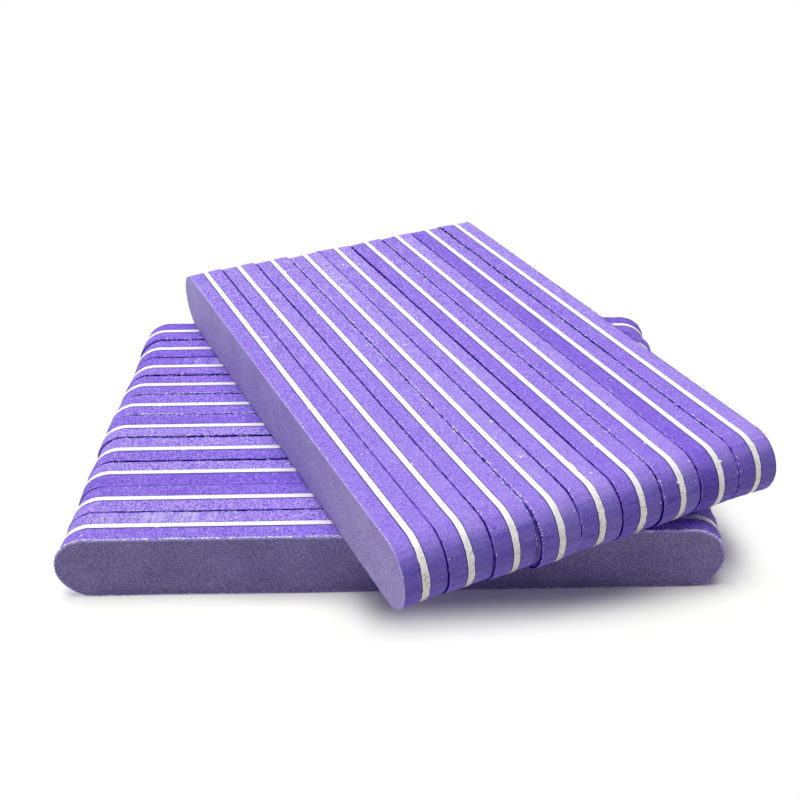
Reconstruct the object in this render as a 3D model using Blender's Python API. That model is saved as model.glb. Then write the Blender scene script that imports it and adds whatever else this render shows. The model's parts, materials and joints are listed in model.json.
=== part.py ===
# Nail buffers: nineteen equal ones in two crossed blocks, each standing on its long narrow edge.
# A buffer is a white plastic core between two violet foam pads with a grit coat on their outer faces,
# cut in one stroke to a strip with round ends. The soft foam gives under the cutter, so a pad may come
# out a little thicker or thinner than the next one, and the cut through a buffer leans along it.
# Metres, +Z up. The origin lies under the middle of the front buffer's core, where it stands.
# +X runs along the lower block and +Y from its front buffer to its back one.

import math

import bmesh
import bpy
from mathutils import Matrix

# One buffer
BUFFER_LENGTH = 0.178
BUFFER_WIDTH = 0.019
CORE_THICKNESS = 0.0016
FOAM_THICKNESS = 0.0048
COAT_THICKNESS = 0.0003
BOND_LINE = 0.0001
FOAM_TOLERANCE = 0.0004
CUT_LEAN = 0.0012
ARC_STEPS = 20

# The two blocks
SEAM = 0.0003
BLOCK_GAP = 0.0003
LOOSE_PLAY = 0.001
CROSSING_ANGLE = math.radians(-65.3)
UPPER_BESIDE_MIDDLE = 0.0142
UPPER_BEHIND_MIDDLE = 0.0079

# A row for each buffer, from the front of the lower block and from the left of the upper one.
# Its shift along the row is a share of LOOSE_PLAY, towards the right or the viewer. The lean of its cut
# is a share of CUT_LEAN, and the foam in front and behind, or left and right, of FOAM_TOLERANCE.
LOWER_SHARES = (
    (-1.1, 0.8, 1.0, -0.3),
    (-0.8, 1.1, 0.1, -0.8),
    (-1.0, 0.5, 1.0, -1.0),
    (-0.5, 1.2, 0.1, 0.9),
    (-0.9, 1.2, -0.8, 1.0),
    (-0.6, 1.4, -0.6, 0.5),
    (0.1, 0.5, -0.3, 0.1),
    (0.9, 1.2, -1.0, 0.5),
    (0.9, 1.3, -0.7, 0.9),
    (0.6, 0.9, 0.3, -0.8),
)
UPPER_SHARES = (
    (-0.7, -1.0, 0.0, -0.7),
    (-0.6, -0.9, -0.3, 0.0),
    (-0.2, -0.8, -0.1, -0.2),
    (0.9, -0.8, -0.2, -0.8),
    (0.2, 0.4, 0.2, -1.0),
    (0.3, -0.9, 0.5, -0.2),
    (0.2, -0.9, 0.7, -0.7),
    (0.1, 0.1, 1.0, -0.7),
    (-0.1, 0.6, 0.5, -0.4),
)

# What follows from those sizes
END_RADIUS = BUFFER_WIDTH / 2
EDGE_LENGTH = BUFFER_LENGTH - BUFFER_WIDTH
PLAIN_PAD = FOAM_THICKNESS + COAT_THICKNESS
PLAIN_THICKNESS = CORE_THICKNESS + 2 * (BOND_LINE + PLAIN_PAD)


def clear_scene():
    for thing in list(bpy.data.objects):
        bpy.data.objects.remove(thing, do_unlink=True)


def make_material(name, colour, roughness):
    material = bpy.data.materials.new(name)
    material.use_nodes = True
    shader = material.node_tree.nodes["Principled BSDF"]
    shader.inputs["Base Color"].default_value = (*colour, 1)
    shader.inputs["Roughness"].default_value = roughness
    shader.inputs["Metallic"].default_value = 0
    return material


def make_holder(name, parent=None):
    holder = bpy.data.objects.new(name, None)
    holder.empty_display_size = END_RADIUS
    holder.parent = parent
    collection.objects.link(holder)
    return holder


def strip_outline():
    """Two straight edges joined by half circles, about the strip's middle."""
    points = []
    for end in (1, -1):
        for step in range(ARC_STEPS + 1):
            angle = end * math.pi * (step / ARC_STEPS - 1 / 2)
            along = end * (EDGE_LENGTH / 2 + END_RADIUS * math.cos(angle))
            points.append((along, END_RADIUS * math.sin(angle)))
    return points


def layer_mesh(name, thickness, lean_slope, material):
    """One layer of a buffer, drawn flat, stood on edge and leaned along its length."""
    outline = strip_outline()
    curve = bpy.data.curves.new(name, "CURVE")
    curve.dimensions = "2D"
    curve.fill_mode = "BOTH"
    curve.extrude = thickness / 2
    spline = curve.splines.new("POLY")
    spline.points.add(len(outline) - 1)
    for point, (along, across) in zip(spline.points, outline):
        point.co = (along, across, 0, 1)
    spline.use_cyclic_u = True
    curve.materials.append(material)
    drawing = bpy.data.objects.new(name, curve)
    collection.objects.link(drawing)
    graph = bpy.context.evaluated_depsgraph_get()
    mesh = bpy.data.meshes.new_from_object(drawing.evaluated_get(graph))
    bpy.data.objects.remove(drawing, do_unlink=True)

    solid = bmesh.new()
    solid.from_mesh(mesh)
    bmesh.ops.remove_doubles(solid, verts=solid.verts, dist=BOND_LINE / 2)
    solid.to_mesh(mesh)
    solid.free()
    mesh.transform(Matrix.Shear("XZ", 4, (lean_slope, 0)) @ Matrix.Rotation(math.pi / 2, 4, "X"))
    mesh.shade_smooth()
    mesh.set_sharp_from_angle(angle=2 * math.pi / ARC_STEPS)
    return mesh


def make_layer(name, holder, offset, thickness, lean_slope, material):
    layer = bpy.data.objects.new(name, layer_mesh(name, thickness, lean_slope, material))
    layer.parent = holder
    layer.location = (lean_slope * offset, offset, 0)
    collection.objects.link(layer)


def pad_thicknesses(shares):
    return [PLAIN_PAD + share * FOAM_TOLERANCE for share in shares[2:]]


def core_inset(shares):
    """How far the middle of a buffer's core lies behind the buffer's front, or left, face."""
    return pad_thicknesses(shares)[0] + BOND_LINE + CORE_THICKNESS / 2


def buffer_thickness(shares):
    return CORE_THICKNESS + 2 * BOND_LINE + sum(pad_thicknesses(shares))


def make_buffer(name, sides, block, core_place, shares):
    """A core and its two pads, held at the core's middle. sides names the pads."""
    lean_slope = shares[1] * CUT_LEAN / PLAIN_THICKNESS
    holder = make_holder(f"{name}_middle", block)
    holder.location = (shares[0] * LOOSE_PLAY, core_place, END_RADIUS)
    make_layer(f"{name}_core", holder, 0, CORE_THICKNESS, lean_slope, white_plastic)
    for side, direction, thickness in zip(sides, (-1, 1), pad_thicknesses(shares)):
        offset = direction * (CORE_THICKNESS / 2 + BOND_LINE + thickness / 2)
        make_layer(f"{name}_{side}_pad", holder, offset, thickness, lean_slope, violet_foam)


def make_block(name, sides, block, block_shares, first_face):
    """Buffers face to face along the block's Y, from the first one's outer face."""
    face = first_face
    for number, shares in enumerate(block_shares, 1):
        make_buffer(f"{name}_{number:02d}", sides, block, face + core_inset(shares), shares)
        face += buffer_thickness(shares) + SEAM


def block_depth(block_shares):
    return sum(map(buffer_thickness, block_shares)) + SEAM * (len(block_shares) - 1)


clear_scene()
collection = bpy.data.collections.new("nail_buffer")
bpy.context.scene.collection.children.link(collection)
violet_foam = make_material("violet foam", (0.235, 0.145, 0.66), 0.85)
white_plastic = make_material("white plastic core", (0.87, 0.87, 0.86), 0.45)

front_face = -core_inset(LOWER_SHARES[0])
lower_block = make_holder("lower_block")
make_block("lower", ("front", "back"), lower_block, LOWER_SHARES, front_face)

# The upper block turns about its own middle, which stands a little off the lower block's middle.
upper_block = make_holder("upper_block")
upper_block.location = (
    UPPER_BESIDE_MIDDLE,
    front_face + block_depth(LOWER_SHARES) / 2 + UPPER_BEHIND_MIDDLE,
    BUFFER_WIDTH + BLOCK_GAP,
)
upper_block.rotation_euler.z = CROSSING_ANGLE
make_block("upper", ("left", "right"), upper_block, UPPER_SHARES, -block_depth(UPPER_SHARES) / 2)
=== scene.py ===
import json
import math
import bmesh
import bpy
import numpy as np
from mathutils import Matrix, Vector

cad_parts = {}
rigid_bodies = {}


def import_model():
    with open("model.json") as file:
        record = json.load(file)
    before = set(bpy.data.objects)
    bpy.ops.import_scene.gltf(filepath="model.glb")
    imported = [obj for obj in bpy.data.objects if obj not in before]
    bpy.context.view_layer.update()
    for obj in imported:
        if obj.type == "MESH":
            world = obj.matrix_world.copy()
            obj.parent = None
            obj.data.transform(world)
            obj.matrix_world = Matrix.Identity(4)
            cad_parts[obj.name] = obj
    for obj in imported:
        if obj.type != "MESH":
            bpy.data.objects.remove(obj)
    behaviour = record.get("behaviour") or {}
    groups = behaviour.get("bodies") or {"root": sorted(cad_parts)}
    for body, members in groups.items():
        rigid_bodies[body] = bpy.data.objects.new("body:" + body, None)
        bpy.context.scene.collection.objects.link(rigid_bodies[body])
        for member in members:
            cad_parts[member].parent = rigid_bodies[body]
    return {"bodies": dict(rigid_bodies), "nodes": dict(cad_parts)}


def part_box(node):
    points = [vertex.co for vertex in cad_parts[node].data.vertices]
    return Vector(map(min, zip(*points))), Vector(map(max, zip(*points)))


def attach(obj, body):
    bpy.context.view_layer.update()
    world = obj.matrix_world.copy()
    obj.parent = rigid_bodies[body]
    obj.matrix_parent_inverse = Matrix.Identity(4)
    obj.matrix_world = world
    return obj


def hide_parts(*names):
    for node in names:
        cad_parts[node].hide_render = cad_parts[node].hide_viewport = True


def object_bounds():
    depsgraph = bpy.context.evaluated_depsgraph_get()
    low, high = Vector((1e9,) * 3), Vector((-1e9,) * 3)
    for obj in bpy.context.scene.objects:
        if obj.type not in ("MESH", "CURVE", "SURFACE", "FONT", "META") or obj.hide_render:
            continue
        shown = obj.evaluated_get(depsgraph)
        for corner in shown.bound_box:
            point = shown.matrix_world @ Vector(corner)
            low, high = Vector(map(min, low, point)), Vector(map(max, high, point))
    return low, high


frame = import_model()
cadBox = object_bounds()

# Nineteen nail buffers. Each is a white polystyrene core between two violet foam pads with grit coats,
# die cut in one stroke. Lengths are in metres, as in the frame.
bodyNames = sorted(frame["bodies"])

# For each block: the two pads of its buffers, the grit on them, and which end of the buffers the viewer sees,
# the one at -1 or at 1 along them
blocks = {
    "lower": {"sides": ("front", "back"), "grits": ("coarse", "fine"), "seenEnd": -1},
    "upper": {"sides": ("left", "right"), "grits": ("fine", "coarse"), "seenEnd": 1},
}
blockBodies = {block: [body for body in bodyNames if body.startswith(block)] for block in blocks}

# One row for each buffer. The tones of its two pads run from -1 for deep violet to 1 for pale. The rest is
# about the seam behind it: how wide it stands open on top at the hidden end, on top at the seen end and
# round the ends, how torn it is, and how much of the step between the two cut ends shows at the seen end.
finishColumns = ("firstTone", "secondTone", "hiddenOpen", "seenOpen", "endOpen", "torn", "stepLeft")
lowerFinishShares = (
    (-0.5, 0.0, 0.9, 0.2, 0.0, 0.6, 0.05),
    (0.0, -0.7, 0.0, 0.0, 0.6, 0.2, 0.4),
    (-1.0, 0.08, 1.4, 0.45, 0.0, 0.4, 0.0),
    (-0.6, 0.05, 1.2, 0.9, 0.6, 0.9, 0.4),
    (0.2, -0.75, 0.2, 0.1, 0.0, 1.0, 0.0),
    (-0.5, -0.4, 0.9, 0.4, 0.0, 1.0, 0.0),
    (-0.6, -0.6, 1.4, 1.1, 0.0, 0.6, 0.0),
    (-0.3, -0.9, 0.9, 0.6, 0.0, 0.2, 0.0),
    (-0.9, -0.6, 1.4, 1.4, 0.4, 0.7, 0.5),
    (-0.7, -1.4, 0.2, 0.2, 0.2, 0.3, 1.0),
)
upperFinishShares = (
    (-0.1, 0.0, 0.36, 0.02, 0.24, 0.3, 0.4),
    (0.0, 0.2, 0.42, 0.14, 0.15, 0.5, 0.5),
    (-0.1, 0.2, 0.25, 0.18, 0.6, 1.0, 0.8),
    (0.0, 0.5, 0.0, 0.38, 0.3, 0.5, 0.3),
    (0.0, 0.4, 0.75, 0.25, 0.25, 0.3, 0.7),
    (-0.4, 0.1, 0.45, 0.1, 0.25, 0.8, 0.7),
    (-0.3, 0.4, 0.3, 0.0, 0.3, 0.4, 0.7),
    (-0.8, 0.0, 0.95, 0.12, 0.2, 0.7, 0.0),
    (-0.3, 0.3, 0.1, 0.1, 0.1, 0.3, 1.0),
)
finishes = {
    "lower": [dict(zip(finishColumns, row)) for row in lowerFinishShares],
    "upper": [dict(zip(finishColumns, row)) for row in upperFinishShares],
}
outerSeam = {"hiddenOpen": 0.0, "seenOpen": 0.0, "endOpen": 0.0, "torn": 0.9}  # before a block's first face


def linearColour(hexColour):
    parts = [int(hexColour[place:place + 2], 16) / 255 for place in (1, 3, 5)]
    return tuple(c / 12.92 if c <= 0.04045 else ((c + 0.055) / 1.055) ** 2.4 for c in parts) + (1.0,)


def setInputs(tree, node, inputs):
    # a socket takes either a value or the output that it is linked to
    for socket, value in inputs.items():
        if isinstance(value, bpy.types.NodeSocket):
            tree.links.new(value, node.inputs[socket])
        else:
            node.inputs[socket].default_value = value


def addNode(tree, kind, inputs=None, stops=(), **settings):
    node = tree.nodes.new(kind)
    for setting, value in settings.items():
        setattr(node, setting, value)
    setInputs(tree, node, inputs or {})
    for place, (position, colour) in enumerate(stops):
        ramp = node.color_ramp.elements
        stop = ramp[place] if place < 2 else ramp.new(position)  # a new ramp has two stops
        stop.position = position
        stop.color = linearColour(colour)
    return node


# the sockets of a Mix node for colours: the share of the second colour, both colours, and the result
shareIn, firstIn, secondIn, colourOut = 0, 6, 7, 2
# what most of a pattern's values lie between: cells and grains, fine noise, and soft noise
evenSpread, fineSpread, softSpread = (0.2, 0.8), (0.35, 0.65), (0.3, 0.7)


def addTones(tree, light, causes):
    # each cause of light and dark is spread evenly about nothing, and its share is added to one number
    for source, (low, high), share in causes:
        spread = addNode(tree, "ShaderNodeMapRange",
                         {"Value": source, "From Min": low, "From Max": high, "To Min": -0.5, "To Max": 0.5})
        added = addNode(tree, "ShaderNodeMath", {0: spread.outputs[0], 1: share, 2: light},
                        operation="MULTIPLY_ADD")
        light = added.outputs[0]
    return light


def startMaterial(name):
    material = bpy.data.materials.new(name)
    material.use_nodes = True
    tree = material.node_tree
    return material, tree, tree.nodes["Principled BSDF"]


def patternPlace(tree):
    # object coordinates in metres, moved by a random step so that no two pieces wear the same pattern
    place = addNode(tree, "ShaderNodeTexCoord")
    own = addNode(tree, "ShaderNodeObjectInfo")
    moved = addNode(tree, "ShaderNodeVectorMath", {0: place.outputs["Object"], 1: own.outputs["Random"]},
                    operation="ADD")
    return moved.outputs[0]


# EVA foam, closed cell, die cut: an even, matt violet whose opened cells show as fine crisp grain. Where the
# strip turns down it is darkened by painted shade, and glue with painted shade in the groove beside the core
# darkens its inner edge. Real cells are about 0.15 mm wide. They are drawn at 0.32 mm, so that they show.
evaFoam = {
    "tones": ((0.0, "#44299F"), (0.3, "#7954D6"), (0.5, "#9A7FE7"), (0.7, "#B49DEE"), (1.0, "#E0D8FE")),
    "toneRange": {"To Min": 0.32, "To Max": 0.68},  # from the deepest pad to the palest
    "dust": "#E0D8FE",
    "scuff": "#CFC4F8",
    "glueAndShade": "#33247A",
    "paintedShade": "#C1C7D6",
    "cells": {"Scale": 1 / 0.00032},
    "grain": {"Scale": 0.9 / 0.00032, "Detail": 2, "Roughness": 0.9},
    "mottle": {"Scale": 1 / 0.006, "Detail": 4, "Roughness": 0.65},
    "mottleShare": 0.07,
    "chatterScale": (1 / 0.0013, 0.3, 50.0),  # round the buffer, from its core to its coat, between buffers
    "chatter": {"Scale": 1.0, "Detail": 2, "Roughness": 0.6},
    "chatterRange": {"To Min": 0.03, "To Max": 0.15},  # its share on the straight, and round the ends
    "marks": {"Scale": 0.27, "Detail": 0},  # about four strokes of chatter to a mark
    "markLevel": 0.5,
    "markWidth": 0.012,
    "markTone": -0.11,
    "spotEdgeShares": (0.6, 1.2),  # the parts of its radius at which a spot starts to fade and is gone
    "tornEdge": {"From Min": 0.9, "From Max": 1.0},
    "tornRange": {"From Min": 0.54, "From Max": 0.66, "To Max": 0.4},
    "streakRange": {"From Min": 0.42, "From Max": 0.66},
    "glueAndShadeRange": {"From Min": 0.025, "From Max": 0.07, "To Min": 0.8, "To Max": 0.0},
    "roughnessRange": {"To Min": 0.72, "To Max": 0.92},
    "cellHeight": 0.00006,
    "ior": 1.48,
}
# what dots the cut foam: spacing, radius as a share of the spacing, how many of the places have one, colour
foamSpots = (
    (0.0020, 0.09, 0.5, "#24147C"),
    (0.0021, 0.08, 0.45, "#6C4CCB"),
    (0.0017, 0.09, 0.55, "#D3C6FC"),
    (0.0046, 0.06, 0.35, "#F0EBFF"),
)


def dieCutEvaFoam():
    material, tree, shader = startMaterial("die_cut_eva_foam")
    place = patternPlace(tree)
    own = addNode(tree, "ShaderNodeObjectInfo")
    point = {value: addNode(tree, "ShaderNodeAttribute", attribute_name=value).outputs["Fac"]
             for value in ("around", "across", "turned", "paintedShade", "scuffed", "grain")}
    cells = addNode(tree, "ShaderNodeTexVoronoi", {"Vector": place, **evaFoam["cells"]})
    grain = addNode(tree, "ShaderNodeTexNoise", {"Vector": place, **evaFoam["grain"]})
    mottle = addNode(tree, "ShaderNodeTexNoise", {"Vector": place, **evaFoam["mottle"]})

    # the cutter's chatter runs straight across the buffer, alike on both its pads, strongest round the ends
    buffer = addNode(tree, "ShaderNodeSeparateColor", {"Color": own.outputs["Color"]})
    chatterPlace = addNode(tree, "ShaderNodeCombineXYZ",
                           {"X": point["around"], "Y": point["across"], "Z": buffer.outputs["Red"]})
    chatterScale = addNode(tree, "ShaderNodeVectorMath",
                           {0: chatterPlace.outputs[0], 1: evaFoam["chatterScale"]}, operation="MULTIPLY")
    chatter = addNode(tree, "ShaderNodeTexNoise", {"Vector": chatterScale.outputs[0], **evaFoam["chatter"]})
    chatterShare = addNode(tree, "ShaderNodeMapRange", {"Value": point["turned"], **evaFoam["chatterRange"]})
    # its heaviest strokes leave thin dark marks, drawn where a slow noise crosses its middle
    marks = addNode(tree, "ShaderNodeTexNoise", {"Vector": chatterScale.outputs[0], **evaFoam["marks"]})
    crossed = addNode(tree, "ShaderNodeMath",
                      {0: marks.outputs["Fac"], 1: evaFoam["markLevel"], 2: evaFoam["markWidth"]},
                      operation="COMPARE")
    markShare = addNode(tree, "ShaderNodeMath", {0: crossed.outputs[0], 1: point["turned"]},
                        operation="MULTIPLY")

    # each cause of light and dark adds to one number, and a ramp turns that into the foam's colours
    tone = addNode(tree, "ShaderNodeMapRange", {"Value": own.outputs["Alpha"], **evaFoam["toneRange"]})
    start = addNode(tree, "ShaderNodeMath",
                    {0: markShare.outputs[0], 1: evaFoam["markTone"], 2: tone.outputs[0]},
                    operation="MULTIPLY_ADD")
    light = addTones(tree, start.outputs[0], (
        (cells.outputs["Color"], evenSpread, point["grain"]),
        (grain.outputs["Fac"], fineSpread, point["grain"]),
        (mottle.outputs["Fac"], softSpread, evaFoam["mottleShare"]),
        (chatter.outputs["Fac"], softSpread, chatterShare.outputs[0]),
    ))
    colours = addNode(tree, "ShaderNodeValToRGB", {"Fac": light}, stops=evaFoam["tones"])
    colour = colours.outputs["Color"]

    # burst cells show as dark pricks, and loose dust and clean cell walls as pale ones
    for spacing, radius, chance, spotColour in foamSpots:
        fading, gone = (radius * share for share in evaFoam["spotEdgeShares"])
        spots = addNode(tree, "ShaderNodeTexVoronoi", {"Vector": place, "Scale": 1 / spacing})
        size = addNode(tree, "ShaderNodeMapRange",
                       {"Value": spots.outputs["Distance"], "From Min": fading, "From Max": gone,
                        "To Min": 1.0, "To Max": 0.0})
        taken = addNode(tree, "ShaderNodeMath", {0: spots.outputs["Color"], 1: chance},
                        operation="LESS_THAN")
        share = addNode(tree, "ShaderNodeMath", {0: size.outputs[0], 1: taken.outputs[0]},
                        operation="MULTIPLY")
        mixed = addNode(tree, "ShaderNodeMix",
                        {shareIn: share.outputs[0], firstIn: colour, secondIn: linearColour(spotColour)},
                        data_type="RGBA")
        colour = mixed.outputs[colourOut]

    # torn cell walls whiten the last half millimetre before the coat here and there
    edge = addNode(tree, "ShaderNodeMapRange", {"Value": point["across"], **evaFoam["tornEdge"]})
    torn = addNode(tree, "ShaderNodeMapRange", {"Value": grain.outputs["Fac"], **evaFoam["tornRange"]})
    tornShare = addNode(tree, "ShaderNodeMath", {0: edge.outputs[0], 1: torn.outputs[0]},
                        operation="MULTIPLY")
    # a scuff is raised in streaks across the strip
    streaks = addNode(tree, "ShaderNodeMapRange", {"Value": chatter.outputs["Fac"], **evaFoam["streakRange"]})
    scuffShare = addNode(tree, "ShaderNodeMath", {0: point["scuffed"], 1: streaks.outputs[0]},
                         operation="MULTIPLY")
    # glue, with painted shade in the groove beside the core, darkens the foam's inner edge
    glueAndShade = addNode(tree, "ShaderNodeMapRange", {"Value": point["across"], **evaFoam["glueAndShadeRange"]})
    for share, blend, blended in (
        (scuffShare.outputs[0], "MIX", evaFoam["scuff"]),
        (tornShare.outputs[0], "MIX", evaFoam["dust"]),
        (glueAndShade.outputs[0], "MIX", evaFoam["glueAndShade"]),
        (point["paintedShade"], "MULTIPLY", evaFoam["paintedShade"]),
    ):
        mixed = addNode(tree, "ShaderNodeMix",
                        {shareIn: share, firstIn: colour, secondIn: linearColour(blended)},
                        data_type="RGBA", blend_type=blend)
        colour = mixed.outputs[colourOut]
    roughness = addNode(tree, "ShaderNodeMapRange",
                        {"Value": grain.outputs["Fac"], **evaFoam["roughnessRange"]})
    height = addNode(tree, "ShaderNodeMath", {0: cells.outputs["Distance"], 1: grain.outputs["Fac"]},
                     operation="ADD")
    cut = addNode(tree, "ShaderNodeMath", {0: height.outputs[0], 1: markShare.outputs[0]},
                  operation="SUBTRACT")
    bump = addNode(tree, "ShaderNodeBump",
                   {"Height": cut.outputs[0], "Distance": evaFoam["cellHeight"], "Strength": 1.0})
    setInputs(tree, shader, {"Base Color": colour, "Roughness": roughness.outputs[0],
                             "Normal": bump.outputs[0], "IOR": evaFoam["ior"]})
    return material


# Aluminium oxide grit, electrostatically coated on a dyed film: a dry lilac grey that sparkles a little.
# Real grains are 0.08 mm (180 grit) and 0.15 mm (100 grit). Both are drawn coarser, so that they show.
# The tones run from the shadow between grains to the sparkle on them.
gritFinishes = {
    "fine": {
        "name": "coated_grit_180",
        "tones": ((0.1, "#7C6EB6"), (0.5, "#A393D1"), (0.75, "#B1A3DB"), (1.0, "#DAD3F2")),
        "grainSize": 0.00020,
        "grainHeight": 0.00003,
        "contrast": 0.76,
    },
    "coarse": {
        "name": "coated_grit_100",
        "tones": ((0.1, "#4A4274"), (0.5, "#796DA4"), (0.75, "#8D82B8"), (1.0, "#B4ABD8")),
        "grainSize": 0.00023,
        "grainHeight": 0.00006,
        "contrast": 0.63,
    },
}
# what both coats have alike: how the grains clump and cloud, and a cut rim of crushed foam and film, which is
# pale where it is torn, with painted shade down in the seam
gritLook = {
    "middleTone": 0.5,
    "clumpScaleShare": 0.5,
    "clumps": {"Detail": 2, "Roughness": 0.8},
    "clumpShare": 0.12,
    "clouds": {"Scale": 9 / 0.100, "Detail": 2},
    "cloudShare": 0.2,
    "rim": "#8567DE",
    "burrAndHighlightRim": "#AE9CE8",
    "tornRim": "#F4F1FF",
    # the seam colour is painted shade down in the gap
    "seam": "#24047C",
    "tears": {"Scale": 17 / 0.010, "Detail": 2},
    "tornFrom": {"To Min": 0.8, "To Max": 0.58},  # the noise above which a clean rim and a torn one whiten
    "tornBlend": 0.08,
    "roughnessRange": {"To Min": 0.55, "To Max": 0.9},
    "glossRange": {"To Min": 0.5, "To Max": 0.0},
}


def coatedGrit(finish):
    material, tree, shader = startMaterial(finish["name"])
    place = patternPlace(tree)
    own = addNode(tree, "ShaderNodeObjectInfo")
    grains = addNode(tree, "ShaderNodeTexVoronoi", {"Vector": place, "Scale": 1 / finish["grainSize"]})
    clumpScale = gritLook["clumpScaleShare"] / finish["grainSize"]
    clumps = addNode(tree, "ShaderNodeTexNoise", {"Vector": place, "Scale": clumpScale, **gritLook["clumps"]})
    clouds = addNode(tree, "ShaderNodeTexNoise", {"Vector": place, **gritLook["clouds"]})
    light = addTones(tree, gritLook["middleTone"], (
        (grains.outputs["Color"], evenSpread, finish["contrast"]),
        (clumps.outputs["Fac"], fineSpread, gritLook["clumpShare"] * finish["contrast"]),
        (clouds.outputs["Fac"], evenSpread, gritLook["cloudShare"]),
    ))
    colours = addNode(tree, "ShaderNodeValToRGB", {"Fac": light}, stops=finish["tones"])

    # the object colour says how torn the rim is, and whether it lies bare on an outer face
    rim = addNode(tree, "ShaderNodeAttribute", attribute_name="rim")
    seamShade = addNode(tree, "ShaderNodeAttribute", attribute_name="seamShade")
    edge = addNode(tree, "ShaderNodeSeparateColor", {"Color": own.outputs["Color"]})
    tears = addNode(tree, "ShaderNodeTexNoise", {"Vector": place, **gritLook["tears"]})
    tornFrom = addNode(tree, "ShaderNodeMapRange", {"Value": edge.outputs["Red"], **gritLook["tornFrom"]})
    tornTo = addNode(tree, "ShaderNodeMath", {0: tornFrom.outputs[0], 1: gritLook["tornBlend"]},
                     operation="ADD")
    torn = addNode(tree, "ShaderNodeMapRange",
                   {"Value": tears.outputs["Fac"], "From Min": tornFrom.outputs[0],
                    "From Max": tornTo.outputs[0]})
    rimColour = linearColour(gritLook["rim"])
    # a rim on a bare first face is a pale burr with a painted highlight, and a torn rim whitens
    for share, blended in (
        (edge.outputs["Green"], gritLook["burrAndHighlightRim"]),
        (torn.outputs[0], gritLook["tornRim"]),
    ):
        mixed = addNode(tree, "ShaderNodeMix",
                        {shareIn: share, firstIn: rimColour, secondIn: linearColour(blended)},
                        data_type="RGBA")
        rimColour = mixed.outputs[colourOut]
    edged = addNode(tree, "ShaderNodeMix",
                    {shareIn: rim.outputs["Fac"], firstIn: colours.outputs["Color"], secondIn: rimColour},
                    data_type="RGBA")
    # painted shade down in the seam
    seamShaded = addNode(tree, "ShaderNodeMix",
                   {shareIn: seamShade.outputs["Fac"], firstIn: edged.outputs[colourOut],
                    secondIn: linearColour(gritLook["seam"])}, data_type="RGBA")
    roughness = addNode(tree, "ShaderNodeMapRange",
                        {"Value": grains.outputs["Color"], **gritLook["roughnessRange"]})
    # no gloss comes out of a seam
    gloss = addNode(tree, "ShaderNodeMapRange",
                    {"Value": seamShade.outputs["Fac"], **gritLook["glossRange"]})
    bump = addNode(tree, "ShaderNodeBump",
                   {"Height": grains.outputs["Distance"], "Distance": finish["grainHeight"], "Strength": 1.0})
    setInputs(tree, shader, {"Base Color": seamShaded.outputs[colourOut], "Specular IOR Level": gloss.outputs[0],
                             "Roughness": roughness.outputs[0], "Normal": bump.outputs[0]})
    return material


# High impact polystyrene sheet, die cut: bright white, satin. Round the ends it takes painted shade: a cream
# tint where they face down, and greyish brown blotches that stand for bruising and shade
polystyrene = {
    "white": "#FEFDFB",
    "shadeCream": "#EBE3CB",
    "bruiseAndShade": "#A39A86",
    "marks": {"Scale": 1 / 0.0008, "Detail": 4, "Roughness": 0.65},
    "clouds": {"Scale": 12 / 0.100, "Detail": 2},
    "shadeCreamRange": {"From Min": 0.3, "From Max": 0.7, "To Min": 0.5, "To Max": 1.0},
    "bruiseAndShadeRange": {"From Min": 0.5, "From Max": 0.68, "To Max": 0.8},
    "roughnessRange": {"To Min": 0.26, "To Max": 0.53},
    "markHeight": 0.00004,
    "gloss": {"IOR": 1.59, "Coat Weight": 1.0, "Coat IOR": 1.6, "Coat Roughness": 0.26},
}


def dieCutPolystyrene():
    material, tree, shader = startMaterial("die_cut_polystyrene")
    place = patternPlace(tree)
    turned = addNode(tree, "ShaderNodeAttribute", attribute_name="turned")
    below = addNode(tree, "ShaderNodeAttribute", attribute_name="below")
    marks = addNode(tree, "ShaderNodeTexNoise", {"Vector": place, **polystyrene["marks"]})
    clouds = addNode(tree, "ShaderNodeTexNoise", {"Vector": place, **polystyrene["clouds"]})
    shadeCream = addNode(tree, "ShaderNodeMapRange", {"Value": clouds.outputs["Fac"], **polystyrene["shadeCreamRange"]})
    # a cream tint painted as shade where the ends face down
    shadeCreamShare = addNode(tree, "ShaderNodeMath", {0: below.outputs["Fac"], 1: shadeCream.outputs[0]},
                         operation="MULTIPLY")
    # greyish brown blotches round the ends, for bruising and painted shade
    bruisesAndShade = addNode(tree, "ShaderNodeMapRange",
                      {"Value": marks.outputs["Fac"], **polystyrene["bruiseAndShadeRange"]})
    bruiseAndShadeShare = addNode(tree, "ShaderNodeMath", {0: bruisesAndShade.outputs[0], 1: turned.outputs["Fac"]},
                          operation="MULTIPLY")
    colour = linearColour(polystyrene["white"])
    for share, blended in (
        (shadeCreamShare.outputs[0], polystyrene["shadeCream"]),
        (bruiseAndShadeShare.outputs[0], polystyrene["bruiseAndShade"]),
    ):
        mixed = addNode(tree, "ShaderNodeMix",
                        {shareIn: share, firstIn: colour, secondIn: linearColour(blended)},
                        data_type="RGBA")
        colour = mixed.outputs[colourOut]
    roughness = addNode(tree, "ShaderNodeMapRange",
                        {"Value": marks.outputs["Fac"], **polystyrene["roughnessRange"]})
    bump = addNode(tree, "ShaderNodeBump",
                   {"Height": marks.outputs["Fac"], "Distance": polystyrene["markHeight"]})
    setInputs(tree, shader, {"Base Color": colour, "Roughness": roughness.outputs[0],
                             "Normal": bump.outputs[0], **polystyrene["gloss"]})
    return material


# Acrylic adhesive, rolled on, painted dark violet for the shade in the bond line, with foam lint sunk into it
rolledGlue = {
    "name": "rolled_acrylic_glue",
    "wisps": {"Scale": 9 / 0.010, "Detail": 3},
    "tones": ((0.35, "#3F2E8C"), (0.75, "#7A63CF")),
    "roughnessRange": {"To Min": 0.3, "To Max": 0.6},
    "height": 0.00003,
}
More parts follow.
